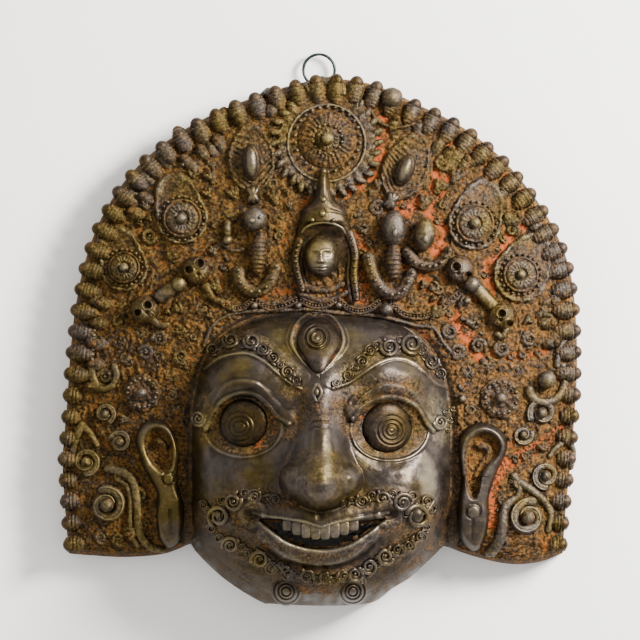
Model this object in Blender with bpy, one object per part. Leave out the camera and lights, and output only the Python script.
"""A three-eyed deity mask of cast bronze with a loose wire ring, lying on its back rim with the face up.

Metres, +Z up, +Y towards the top of the crown, origin under the middle of the whole.
The casting is one hollow shell. Its front is a smooth base surface with the carving raised on it, and its
inside follows the smooth base at the thickness of the wall.
"""

import math

import bmesh
import bpy
import numpy as np

# Driving sizes, in metres
WIDTH = 0.240  # over the crown, side to side
RIM_HEIGHT = 0.013  # edge of the crown above the back plane
RIM_ROUND = 0.006  # radius of the rim's rounded shoulder
CROWN_RISE = 0.018  # middle of the crown plate above its rim
FACE_HEIGHT = 0.058  # face dome above the back plane
NOSE_HEIGHT = 0.025  # tip of the nose above the face around it
CARVING = 0.0060  # the boldest balls of the crown's carving
LOBE_HEIGHT = 0.0018  # rim lobes above the rim
WALL = 0.0035  # thickness of the casting
WIRE = 0.0014  # thickness of the hanging ring's wire
RING_OUTER = 0.0158  # hanging ring, over the wire
LUG_THICKNESS = 0.003
LUG_WALL = 0.0017  # metal round the lug's hole
WIRE_CLEARANCE = 0.0008  # between wire and hole, all round
FLOOR_CLEARANCE = 0.0004  # under the lug
NOTCH_SIDE_CLEARANCE = 0.003  # between ring and notch in the back rim
NOTCH_TOP_CLEARANCE = 0.0009
LOBE_COUNT = 58
TRIANGLES = 9000
FLAT_FOOT = 0.0002  # points of the thinned mesh this close to the back plane lie in it

# The carving is drawn on a grid of steps, columns to the right and rows down, as shares of the width
GRID_WIDTH = 523
STEP = WIDTH / GRID_WIDTH
MIDDLE = (319.5, 330.3)
POLE = (321.0, 430.0)  # the rings of the surface run round this place on the bridge of the nose
CARVING_STEPS = CARVING / STEP

ARCH = (
    (64, 555), (62, 528), (59, 490), (58, 455), (62, 405), (65, 360), (70, 312), (80, 262), (97, 216),
    (124, 174), (160, 140), (200, 115), (243, 96), (292, 80), (330, 74), (374, 80), (421, 101), (461, 121),
    (497, 148), (529, 183), (554, 220), (572, 263), (579, 310), (581, 362), (579, 407), (575, 458),
    (570, 505), (566, 555),
)
JAW = (
    (446, 548), (430, 563), (411, 580), (393, 591), (371, 606), (322, 609), (271, 607), (259, 605),
    (224, 583), (196, 558), (187, 546),
)

# Mesh of the front before it is thinned out
AROUND = 480
RINGS = 110
RIM_RINGS = 14


def curve_through(points, per_span=8):
    """A smooth line through the given points."""
    p = np.array(points, float)
    p = np.vstack([2 * p[0] - p[1], p, 2 * p[-1] - p[-2]])
    t = np.linspace(0, 1, per_span, endpoint=False)[:, None]
    spans = []
    for a, b, c, d in zip(p[:-3], p[1:-2], p[2:-1], p[3:]):
        spans.append(
            b
            + 0.5 * t * (c - a)
            + t**2 * (a - 2.5 * b + 2 * c - 0.5 * d)
            + 0.5 * t**3 * (3 * b - 3 * c + d - a)
        )
    return np.vstack(spans + [p[-2:-1]])


def spiral(centre, outer, inner, turns, start, points=24):
    """A flat spiral that winds inwards from an angle in degrees; negative turns wind the other way."""
    t = np.linspace(0, 1, points)
    angle = math.radians(start) + t * turns * 2 * math.pi
    radius = outer + (inner - outer) * t
    return np.stack([centre[0] + radius * np.cos(angle), centre[1] + radius * np.sin(angle)], axis=1)


def dome(c, r, centre, radii, height, turn=0.0, power=0.5):
    """A boss with an elliptical edge: a power of 0.5 is a ball's crown, and 2 a soft swelling."""
    dc = c - centre[0]
    dr = r - centre[1]
    cos, sin = math.cos(math.radians(turn)), math.sin(math.radians(turn))
    q = ((dc * cos + dr * sin) / radii[0]) ** 2 + ((dr * cos - dc * sin) / radii[1]) ** 2
    return height * np.maximum(0, 1 - q) ** power


def ring(c, r, centre, radius, half_width, height):
    """A round raised ring."""
    d = np.hypot(c - centre[0], r - centre[1]) - radius
    return height * np.sqrt(np.maximum(0, 1 - (d / half_width) ** 2))


def ridge(c, r, points, half_width, height, end_width=None, end_height=None, power=0.5):
    """A rounded ridge along a line, which may taper to another width and height."""
    end_width = half_width if end_width is None else end_width
    end_height = height if end_height is None else end_height
    points = np.asarray(points, float)
    reach = max(half_width, end_width)
    low, high = points.min(axis=0) - reach, points.max(axis=0) + reach
    near = (c > low[0]) & (c < high[0]) & (r > low[1]) & (r < high[1])
    out = np.zeros_like(c)
    x, y = c[near], r[near]
    lengths = np.hypot(*np.diff(points, axis=0).T)
    along = np.concatenate([[0], np.cumsum(lengths)]) / lengths.sum()
    best = np.zeros_like(x)
    for i in range(len(points) - 1):
        a, span = points[i], points[i + 1] - points[i]
        t = np.clip(((x - a[0]) * span[0] + (y - a[1]) * span[1]) / (span @ span), 0, 1)
        share = along[i] + t * (along[i + 1] - along[i])
        d = np.hypot(x - a[0] - t * span[0], y - a[1] - t * span[1])
        wide = half_width + (end_width - half_width) * share
        tall = height + (end_height - height) * share
        best = np.maximum(best, tall * np.maximum(0, 1 - (d / wide) ** 2) ** power)
    out[near] = best
    return out


def smooth_max(a, b, k):
    """The higher of two surfaces, with a fillet about k wide where they cross."""
    h = np.clip(0.5 + 0.5 * (a - b) / k, 0, 1)
    return b + (a - b) * h + k * h * (1 - h)


def outline():
    """The mask's edge as directions from the pole, distances from it and shares of the arch's length."""
    arch, jaw = curve_through(ARCH), curve_through(JAW)
    right_foot = curve_through((ARCH[-1], JAW[0]))[1:-1]
    left_foot = curve_through((JAW[-1], ARCH[0]))[1:-1]
    line = np.vstack([arch, right_foot, jaw, left_foot])
    lengths = np.hypot(*np.diff(arch, axis=0).T)
    share = np.full(len(line), -1.0)
    share[: len(arch)] = np.concatenate([[0], np.cumsum(lengths)]) / lengths.sum()
    angle = np.arctan2(POLE[1] - line[:, 1], line[:, 0] - POLE[0])
    radius = np.hypot(line[:, 0] - POLE[0], line[:, 1] - POLE[1])
    order = np.argsort(angle)
    return angle[order], radius[order], share[order]


OUTLINE = outline()


def edge_reach(angle):
    """How far the smooth edge, without its lobes, is from the pole."""
    return np.interp(angle, OUTLINE[0], OUTLINE[1], period=2 * math.pi) - LOBE_HEIGHT / STEP


def polar(c, r):
    """Direction and distance of places from the pole."""
    return np.arctan2(POLE[1] - r, c - POLE[0]), np.hypot(c - POLE[0], POLE[1] - r)


def face_share(c, r):
    """How far a place is from the middle of the face, 1 at its edge."""
    middle, half_width, up, down = (320.5, 452), 138, 150, 158.5
    dc = np.abs(c - middle[0]) / half_width
    dr = np.where(r < middle[1], (middle[1] - r) / up, (r - middle[1]) / down)
    return (dc**3 + dr**3) ** (1 / 3)


def nose(c, r):
    """A broad straight nose with a round tip and flared wings."""
    tall = NOSE_HEIGHT / STEP
    rows = (362, 392, 421, 450, 466, 478, 488, 496, 502, 509)
    height = np.interp(r, rows, np.array((0, 0.18, 0.33, 0.58, 0.8, 0.95, 1.0, 0.9, 0.65, 0)) * tall)
    width = np.interp(r, rows, (20, 20, 25, 33, 40, 42, 42, 42, 40, 36))
    bridge = height * np.maximum(0, 1 - (np.abs(c - 320.5) / width) ** 2) ** 1.2
    wings = np.maximum(
        dome(c, r, (297, 482), (19, 19), 0.56 * tall, -15),
        dome(c, r, (344, 481), (19, 19), 0.56 * tall, 15),
    )
    return smooth_max(bridge, wings, 6)


def base_height(c, r):
    """Height of the smooth base over the back plane, in steps: the crown plate and the modelled face."""
    angle, reach = polar(c, r)
    edge = edge_reach(angle)
    plate = (RIM_HEIGHT + CROWN_RISE * (1 - np.minimum(reach / edge, 1) ** 2.5)) / STEP
    q = face_share(c, r)
    face = FACE_HEIGHT / STEP * np.maximum(0, 1 - q**3) ** 0.45
    inside = np.clip((1 - q) * 8, 0, 1)
    swell = dome(c, r, (232, 500), (52, 60), 9, power=2) + dome(c, r, (412, 500), (52, 60), 9, power=2)
    swell += dome(c, r, (322, 587), (58, 40), 15, power=2)
    swell += dome(c, r, (322, 535), (82, 46), 13, power=2)
    swell += dome(c, r, (246, 370), (62, 28), 13, -8, power=2)
    swell += dome(c, r, (394, 370), (62, 28), 13, 8, power=2)
    swell += dome(c, r, (320, 372), (40, 40), 7, power=2)
    swell -= dome(c, r, (244, 424), (52, 46), 17, power=2)
    swell -= dome(c, r, (388, 428), (52, 46), 17, power=2)
    swell += nose(c, r)
    shoulder = RIM_ROUND / STEP
    bend = np.clip((reach - edge) / shoulder + 1, 0, 1)
    drop = shoulder * (1 - np.sqrt(1 - bend**2))
    return np.where(reach > edge + 0.01, 0, smooth_max(plate, face + inside * swell, 7) - drop)


def medallion(c, r, centre, radius, apex):
    """A jewelled disc with a boss, on a leaf that points outwards."""
    leaf = ridge(c, r, (centre, apex), 1.45 * radius, 6, 3, 4, power=0.35)
    disc = dome(c, r, centre, (radius, radius), 9, power=0.3) - ring(c, r, centre, 0.55 * radius, 4, 3)
    return np.maximum(leaf, np.maximum(disc, dome(c, r, centre, (6, 6), 14)))


def lotus(c, r, centre, length, width, turn):
    """A bud of petals round a long stone."""
    bud = dome(c, r, centre, (length / 2, width / 2), 10, turn)
    return np.maximum(bud, dome(c, r, centre, (length / 3.2, width / 3.6), 15, turn))


def skull(c, r, centre, eyes, jaw):
    """A small skull seen from above, with two eye holes."""
    h = np.maximum(
        dome(c, r, centre, (14, 14), 1.25 * CARVING_STEPS),
        ridge(c, r, (centre, jaw), 10, 0.9 * CARVING_STEPS, 7, 0.6 * CARVING_STEPS),
    )
    for eye in eyes:
        h = h - dome(c, r, eye, (4.5, 4.5), 7)
    return np.maximum(h, 0)


def teardrop(c, r, head, foot):
    """A small head with a pointed cap on a stalk."""
    top = (head[0], head[1] - 19)
    cap = ridge(c, r, (top, (head[0], head[1] + 5)), 4, 8, 12, 1.1 * CARVING_STEPS)
    return np.maximum(cap, ridge(c, r, (head, foot), 7, 0.75 * CARVING_STEPS))


def deity(c, r):
    """The small crowned head in the middle of the crown, in its hood."""
    h = dome(c, r, (325, 246), (34, 42), 0.65 * CARVING_STEPS)
    h = np.maximum(h, ridge(c, r, ((322, 228), (323, 206), (326, 176)), 19, 20, 4, 8))
    h = np.maximum(h, ridge(c, r, ((303, 225), (343, 225)), 5, 21))
    h = np.maximum(h, dome(c, r, (322, 254), (15, 24), 22))
    return np.maximum(h, ridge(c, r, ((322, 249), (322, 260)), 3, 24, 5, 27))


def serpent(c, r, head, body, base):
    """A rearing snake on a U-shaped base."""
    h = dome(c, r, head, (13, 14), 1.1 * CARVING_STEPS)
    h = np.maximum(h, ridge(c, r, curve_through(body, 4), 7, 0.8 * CARVING_STEPS))
    return np.maximum(h, ridge(c, r, curve_through(base, 4), 6, 0.6 * CARVING_STEPS))


def ear(c, r, top, lobe, hollow):
    """A long ear with a hollow shell and a hanging lobe."""
    body = ridge(c, r, (top, lobe), 24, 14, 15, 12, power=0.35)
    return np.maximum(body - ridge(c, r, hollow, 9, 10, 6, 8), 0)


def crown_carving(c, r):
    """Relief on the crown plate, in steps."""
    b = CARVING_STEPS
    centre = (327, 142)
    h = dome(c, r, centre, (50, 50), 7, power=0.2) - ring(c, r, centre, 44, 3, 3)
    h = np.maximum(h, ring(c, r, centre, 38, 3.5, 10))
    h = np.maximum(h, dome(c, r, centre, (30, 30), 12, power=0.35) - ring(c, r, centre, 17, 4, 4))
    h = np.maximum(h, dome(c, r, centre, (7, 7), 17))
    discs = (
        ((182, 218), 20, (170, 174)),
        ((124, 266), 18, (111, 226)),
        ((474, 224), 20, (489, 179)),
        ((521, 274), 18, (544, 235)),
        ((142, 392), 20, (142, 372)),
        ((500, 398), 21, (500, 378)),
    )
    for place, radius, apex in discs:
        h = np.maximum(h, medallion(c, r, place, radius, apex))
    h = np.maximum(h, lotus(c, r, (245, 158), 62, 40, 90))
    h = np.maximum(h, lotus(c, r, (408, 169), 68, 38, 113))
    h = np.maximum(h, deity(c, r))
    h = np.maximum(h, teardrop(c, r, (393, 230), (392, 280)))
    h = np.maximum(h, teardrop(c, r, (424, 236), (428, 262)))
    left_body = ((256, 232), (258, 252), (259, 276))
    left_base = ((239, 270), (243, 287), (255, 293), (270, 286), (275, 266))
    h = np.maximum(h, serpent(c, r, (256, 220), left_body, left_base))
    right_base = ((369, 260), (374, 284), (391, 293), (405, 288), (410, 274))
    h = np.maximum(h, ridge(c, r, curve_through(right_base, 4), 6, 0.6 * b))
    skulls = (
        ((460, 266), ((455, 269), (468, 273)), (463, 280)),
        ((501, 312), ((497, 313), (508, 320)), (498, 334)),
        ((196, 267), ((190, 266), (202, 264)), (193, 281)),
        ((146, 306), ((139, 311), (150, 308)), (150, 322)),
    )
    for skull_sizes in skulls:
        h = np.maximum(h, skull(c, r, *skull_sizes))
    rods = (((468, 282), (492, 306)), ((181, 280), (160, 296)), ((430, 316), (462, 292)))
    for rod in rods:
        h = np.maximum(h, ridge(c, r, rod, 8, 0.7 * b))
    top_snakes = (((272, 93), (256, 92), (240, 99)), ((390, 100), (393, 122), (412, 124), (423, 118)))
    for line in top_snakes:
        h = np.maximum(h, ridge(c, r, curve_through(line, 4), 11, 0.9 * b, 5, 0.5 * b))
    swags = ((339, 303), (360, 313), (378, 303), (386, 308), (412, 318), (437, 312), (462, 294))
    h = np.maximum(h, ridge(c, r, curve_through(swags, 4), 4, 5))
    scrolls = (
        ((107, 504), 20, 1.2, 60),
        ((86, 462), 15, 1.1, -90),
        ((120, 441), 12, 1.1, 0),
        ((105, 413), 11, 1.1, 90),
        ((104, 372), 13, 1.1, 180),
        ((528, 516), 20, -1.2, 120),
        ((545, 476), 15, -1.1, -90),
        ((522, 434), 12, -1.1, 180),
        ((541, 413), 16, -1.1, 90),
        ((546, 381), 14, -1.1, 0),
    )
    for place, outer, turns, start in scrolls:
        h = np.maximum(h, ridge(c, r, spiral(place, outer, 3, turns, start), 5, 0.6 * b))
    bands = (
        ((107, 467), (133, 482), (138, 517), (140, 538), (160, 548)),
        ((92, 430), (113, 456), (140, 471)),
        ((573, 420), (530, 449), (502, 466)),
        ((517, 482), (540, 500), (536, 532)),
        ((503, 502), (501, 533), (492, 550)),
    )
    for line in bands:
        h = np.maximum(h, ridge(c, r, curve_through(line, 4), 5, 0.5 * b))
    h = np.maximum(h, ear(c, r, (156, 442), (170, 531), ((160, 440), (158, 470), (169, 500))))
    return np.maximum(h, ear(c, r, (484, 447), (472, 535), ((484, 440), (478, 466), (471, 495))))


def face_carving(c, r):
    """Relief on the face, in steps: eyes, brows, lips, teeth, curls of beard and chin whorls."""
    h = dome(c, r, (316, 341), (26, 32), 9, power=0.4)
    h = np.maximum(h, dome(c, r, (316, 341), (18, 24), 14))
    h = np.maximum(h, dome(c, r, (243, 423), (26, 25), 21))
    h = np.maximum(h, dome(c, r, (388, 427), (27, 26), 21))
    lids = (
        ((206, 424), (222, 398), (247, 389), (268, 400), (285, 420)),
        ((352, 418), (366, 401), (390, 395), (412, 402), (428, 424)),
    )
    for line in lids:
        h = np.maximum(h, ridge(c, r, curve_through(line, 4), 5, 8))
    brows = (
        ((206, 376), (222, 352), (246, 344), (270, 362), (298, 384)),
        ((337, 384), (366, 360), (394, 347), (424, 356), (443, 382)),
    )
    for line in brows:
        h = np.maximum(h, ridge(c, r, curve_through(line, 4), 13, 6, 9, 5, power=0.35))
    moustache = (
        ((280, 497), (255, 492), (229, 496), (206, 508)),
        ((343, 498), (372, 493), (402, 498), (427, 510)),
    )
    for line in moustache:
        h = np.maximum(h, ridge(c, r, curve_through(line, 4), 9, 5, 12, 5, power=0.35))
    beard = ((228, 541), (256, 557), (288, 575), (322, 579), (355, 572), (384, 553), (413, 537))
    h = np.maximum(h, ridge(c, r, curve_through(beard, 4), 9, 4.5, power=0.35))
    whorls = ((286, 592), (354, 592))
    for place in whorls:
        h = np.maximum(h, dome(c, r, place, (17, 15), 8))
    upper_lip = ((262, 515), (290, 517), (321, 521), (352, 517), (384, 511))
    lower_lip = ((268, 541), (290, 552), (321, 557), (347, 550), (369, 538))
    h = np.maximum(h, ridge(c, r, curve_through(upper_lip, 4), 7, 8))
    h = np.maximum(h, ridge(c, r, curve_through(lower_lip, 4), 8, 11))
    tooth_count, tooth_pitch = 9, 8.5
    for i in range(tooth_count):
        offset = (i - (tooth_count - 1) / 2) * tooth_pitch
        tooth = (322 + offset, 531 - 0.004 * offset**2)
        h = np.maximum(h, dome(c, r, tooth, (5, 9), 6))
    return h


def rim_carving(c, r, arch_share, edge_distance):
    """Lobes along the crown's edge, and the buds of a second row inside them, in steps."""
    phase = arch_share * LOBE_COUNT
    across = 2 * (phase - np.floor(phase)) - 1
    on_arch = (arch_share > 0) & (arch_share < 1)
    inner = np.clip((30 - edge_distance) / 6, 0, 1)
    lobes = np.sqrt(np.maximum(0, 1 - across**2)) * inner
    return np.where(on_arch, lobes, 0) * LOBE_HEIGHT / STEP


def bud_carving(c, r, arch_share, edge_distance):
    """Round buds in a second row, offset by half a lobe, over the upper part of the arch."""
    phase = arch_share * LOBE_COUNT + 0.5
    across = 2 * (phase - np.floor(phase)) - 1
    row = (edge_distance - 39) / 11
    upper = (arch_share > 0.22) & (arch_share < 0.82)
    return np.where(upper, 6 * np.sqrt(np.maximum(0, 1 - across**2 - row**2)), 0)


def inner_edge(angle):
    """How far the inner face of the wall is from the pole: the wall's thickness inside the edge."""
    wall = WALL / STEP
    edge = edge_reach(angle)
    line = POLE[0] + edge * np.cos(angle), POLE[1] - edge * np.sin(angle)
    reach = edge - wall
    for _ in range(40):
        c = POLE[0] + reach * np.cos(angle)
        r = POLE[1] - reach * np.sin(angle)
        gap = np.hypot(c[:, None] - line[0], r[:, None] - line[1]).min(axis=1)
        reach = reach - np.maximum(0, wall - gap)
    return reach


def inside_height(c, r):
    """Height of the inside: the highest that leaves the wall its thickness in every direction."""
    wall = WALL / STEP
    height = base_height(c, r) - wall
    for tilt in (0.3, 0.6, 0.85, 1.0):
        side, depth = wall * tilt, wall * math.sqrt(1 - tilt**2)
        for turn in np.linspace(0, 2 * math.pi, 12, endpoint=False):
            near = base_height(c + side * math.cos(turn), r + side * math.sin(turn))
            height = np.minimum(height, near - depth)
    return np.maximum(height, 0.2 * wall)


def front_rings(angle):
    """Distances of the front's rings from the pole, and the share of the rim's wall climbed down."""
    edge = edge_reach(angle)
    shoulder = RIM_ROUND / STEP
    flat, bent = RINGS - RIM_RINGS, RIM_RINGS // 2
    k = np.arange(1, RINGS + 1)[:, None]
    bend = np.clip((k - flat) / bent, 0, 1) * math.pi / 2
    reach = (edge - shoulder) * np.minimum(k / flat, 1) + shoulder * np.sin(bend)
    down = np.clip((k - flat - bent) / (RIM_RINGS - bent), 0, 1)
    return reach, np.broadcast_to(down, reach.shape)


def shell_points():
    """Places of the front and the inside, ring by ring from the pole to the back plane."""
    angle = np.linspace(0, 2 * math.pi, AROUND, endpoint=False)
    reach, down = front_rings(angle)
    c = POLE[0] + reach * np.cos(angle)
    r = POLE[1] - reach * np.sin(angle)
    z = base_height(c, r) * (1 - down)
    front = np.stack([c - MIDDLE[0], MIDDLE[1] - r, z], axis=-1)
    beside = np.roll(front, -1, axis=1) - np.roll(front, 1, axis=1)
    normal = np.cross(np.gradient(front, axis=0), beside)
    normal /= np.linalg.norm(normal, axis=-1, keepdims=True)
    share = np.interp(angle, OUTLINE[0], OUTLINE[2], period=2 * math.pi)
    share = np.broadcast_to(share, c.shape)
    distance = edge_reach(angle) + LOBE_HEIGHT / STEP - reach
    plate = np.clip((face_share(c, r) - 0.93) / 0.05, 0, 1)
    carving = np.maximum(crown_carving(c, r), bud_carving(c, r, share, distance)) * plate
    carving = np.maximum(carving, face_carving(c, r))
    bare_edge = np.where(share > 0, 26, 7)
    front[..., 2] += carving * np.clip((distance - bare_edge) / 4, 0, 1)
    lobes = rim_carving(c, r, share, distance) * np.clip(z / 4, 0, 1)
    front += normal * lobes[..., None]

    k = np.arange(1, RINGS + 1)[:, None]
    reach = inner_edge(angle) * np.minimum(k / (RINGS - 1), 1)
    c = POLE[0] + reach * np.cos(angle)
    r = POLE[1] - reach * np.sin(angle)
    z = np.where(k == RINGS, 0, inside_height(c, r))
    inside = np.stack([c - MIDDLE[0], MIDDLE[1] - r, z], axis=-1)
    return front * STEP, inside * STEP


def material(name, colour, roughness):
    made = bpy.data.materials.new(name)
    made.use_nodes = True
    shader = made.node_tree.nodes["Principled BSDF"]
    shader.inputs["Base Color"].default_value = (*colour, 1)
    shader.inputs["Roughness"].default_value = roughness
    shader.inputs["Metallic"].default_value = 1
    return made


def add(name, mesh, collection, surface=None):
    made = bpy.data.objects.new(name, mesh)
    collection.objects.link(made)
    if surface:
        mesh.materials.append(surface)
    return made


def as_cutter(made):
    made.display_type = "WIRE"
    made.hide_render = True


def shell_mesh():
    """A closed sphere reshaped: its upper half becomes the front and its lower half the inside."""
    front, inside = shell_points()
    slots = 2 * RINGS + 1
    bm = bmesh.new()
    bmesh.ops.create_uvsphere(bm, u_segments=AROUND, v_segments=slots, radius=1)
    mesh = bpy.data.meshes.new("mask_fine")
    bm.to_mesh(mesh)
    bm.free()
    ball = np.empty(3 * len(mesh.vertices))
    mesh.vertices.foreach_get("co", ball)
    x, y, z = ball.reshape(-1, 3).T
    ring_index = np.rint(np.arccos(np.clip(z, -1, 1)) / math.pi * slots).astype(int)
    turn_index = np.rint(np.arctan2(y, x) / (2 * math.pi) * AROUND).astype(int) % AROUND
    rings = np.concatenate([front[:1], front, inside[::-1], inside[:1]])
    rings[0] = front[0].mean(axis=0)
    rings[-1] = inside[0].mean(axis=0)
    mesh.vertices.foreach_set("co", rings[ring_index, turn_index].ravel())
    mesh.update()
    return mesh


def thinned(mesh):
    """The same shell with few triangles, and its foot dead flat on the back plane."""
    holder = bpy.data.objects.new(mesh.name, mesh)
    bpy.context.scene.collection.objects.link(holder)
    thin = holder.modifiers.new("thin_out", "DECIMATE")
    thin.ratio = TRIANGLES / (4 * AROUND * RINGS)
    evaluated = holder.evaluated_get(bpy.context.evaluated_depsgraph_get())
    made = bpy.data.meshes.new_from_object(evaluated)
    bpy.data.objects.remove(holder)
    bm = bmesh.new()
    bm.from_mesh(made)
    for v in bm.verts:
        if v.co.z < FLAT_FOOT:
            v.co.z = 0
    bm.to_mesh(made)
    bm.free()
    return made


def plate_mesh(name, loops, thickness):
    """A flat plate in the XY plane with its middle at Z 0; loops after the first are holes."""
    data = bpy.data.curves.new(name, "CURVE")
    data.dimensions = "2D"
    data.fill_mode = "BOTH"
    data.extrude = thickness / 2
    for loop in loops:
        line = data.splines.new("POLY")
        line.points.add(len(loop) - 1)
        line.use_cyclic_u = True
        for point, (x, y) in zip(line.points, loop):
            point.co = (x, y, 0, 1)
    holder = bpy.data.objects.new(name, data)
    bpy.context.scene.collection.objects.link(holder)
    bpy.context.view_layer.update()
    evaluated = holder.evaluated_get(bpy.context.evaluated_depsgraph_get())
    mesh = bpy.data.meshes.new_from_object(evaluated)
    bpy.data.objects.remove(holder)
    bm = bmesh.new()
    bm.from_mesh(mesh)
    bmesh.ops.remove_doubles(bm, verts=bm.verts, dist=0.00001)
    bmesh.ops.recalc_face_normals(bm, faces=bm.faces)
    bm.to_mesh(mesh)
    bm.free()
    return mesh


def circle(centre, radius, count):
    turns = (2 * math.pi * i / count for i in range(count))
    return [(centre[0] + radius * math.cos(t), centre[1] + radius * math.sin(t)) for t in turns]


def boolean(target, cutter, operation):
    made = target.modifiers.new(cutter.name, "BOOLEAN")
    made.object = cutter
    made.operation = operation
    made.solver = "EXACT"


def block(name, low, high, collection):
    """An axis-aligned cutter block between two corners."""
    bm = bmesh.new()
    bmesh.ops.create_cube(bm, size=1)
    for v in bm.verts:
        v.co = [low[i] + (v.co[i] + 0.5) * (high[i] - low[i]) for i in range(3)]
    mesh = bpy.data.meshes.new(name)
    bm.to_mesh(mesh)
    bm.free()
    made = add(name, mesh, collection)
    as_cutter(made)
    return made


def mouth_cutter(collection):
    """The open mouth: a crescent between the lips, less the row of upper teeth."""
    lower = curve_through(((262, 518), (282, 535), (300, 543), (321, 547), (342, 543), (362, 534), (384, 515)), 3)
    upper = ((364, 523), (361, 531), (342, 534.5), (321, 536), (301, 534.5), (283, 531), (280, 524))
    loop = [((c - MIDDLE[0]) * STEP, (MIDDLE[1] - r) * STEP) for c, r in (*lower, *upper)]
    made = add("mouth_cutter", plate_mesh("mouth_cutter", [loop], 2 * FACE_HEIGHT), collection)
    made.location.z = FACE_HEIGHT
    as_cutter(made)
    return made


def lug_body(collection, hole_place, top):
    """A cast eye with its hole along X: a rounded plate that runs up into the crown's underside."""
    hole = WIRE / 2 + WIRE_CLEARANCE
    outer = hole + LUG_WALL
    foot = [
        (outer * math.cos(math.pi * (1 + i / 10)), outer * math.sin(math.pi * (1 + i / 10)))
        for i in range(11)
    ]
    loop = [*foot, (outer, top), (-outer, top)]
    mesh = plate_mesh("lug", [loop, circle((0, 0), hole, 16)], LUG_THICKNESS)
    made = add("lug", mesh, collection)
    made.rotation_euler = (math.pi / 2, 0, math.pi / 2)
    made.location = (hole_place[0], hole_place[1], hole_place[2])
    as_cutter(made)
    return made


def main():
    for old in list(bpy.data.objects):
        bpy.data.objects.remove(old)
    scene = bpy.context.scene
    parts = bpy.data.collections.new("bronze_ritual_mask")
    cutters = bpy.data.collections.new("cutters")
    scene.collection.children.link(parts)
    scene.collection.children.link(cutters)

    bronze = material("aged_bronze", (0.10, 0.075, 0.045), 0.45)
    wire = material("dark_wire", (0.02, 0.025, 0.022), 0.4)

    mask = add("mask", thinned(shell_mesh()), parts, bronze)

    ring_radius = (RING_OUTER - WIRE) / 2
    hole_radius = WIRE / 2 + WIRE_CLEARANCE
    ring_middle = ((318.5 - MIDDLE[0]) * STEP, (MIDDLE[1] - 69) * STEP)
    crown_top = (MIDDLE[1] - ARCH[len(ARCH) // 2][1]) * STEP
    hole_height = hole_radius + LUG_WALL + FLOOR_CLEARANCE
    lug_y = ring_middle[1] - ring_radius
    ring_height = hole_height - 0.6 * WIRE_CLEARANCE

    half_notch = RING_OUTER / 2 + NOTCH_SIDE_CLEARANCE
    notch_top = ring_height + WIRE / 2 + NOTCH_TOP_CLEARANCE
    notch = block(
        "notch_cutter",
        (ring_middle[0] - half_notch, crown_top - 2 * WALL, -WALL),
        (ring_middle[0] + half_notch, crown_top + 2 * WALL, notch_top),
        cutters,
    )
    lug = lug_body(cutters, (ring_middle[0], lug_y, hole_height), RIM_HEIGHT - WALL)
    boolean(mask, notch, "DIFFERENCE")
    boolean(mask, mouth_cutter(cutters), "DIFFERENCE")
    boolean(mask, lug, "UNION")

    bpy.ops.mesh.primitive_torus_add(
        major_radius=ring_radius,
        minor_radius=WIRE / 2,
        major_segments=32,
        minor_segments=8,
        location=(*ring_middle, ring_height),
    )
    hanging_ring = bpy.context.object
    hanging_ring.name = "hanging_ring"
    hanging_ring.data.shade_smooth()
    hanging_ring.data.materials.append(wire)
    for owner in list(hanging_ring.users_collection):
        owner.objects.unlink(hanging_ring)
    parts.objects.link(hanging_ring)


main()
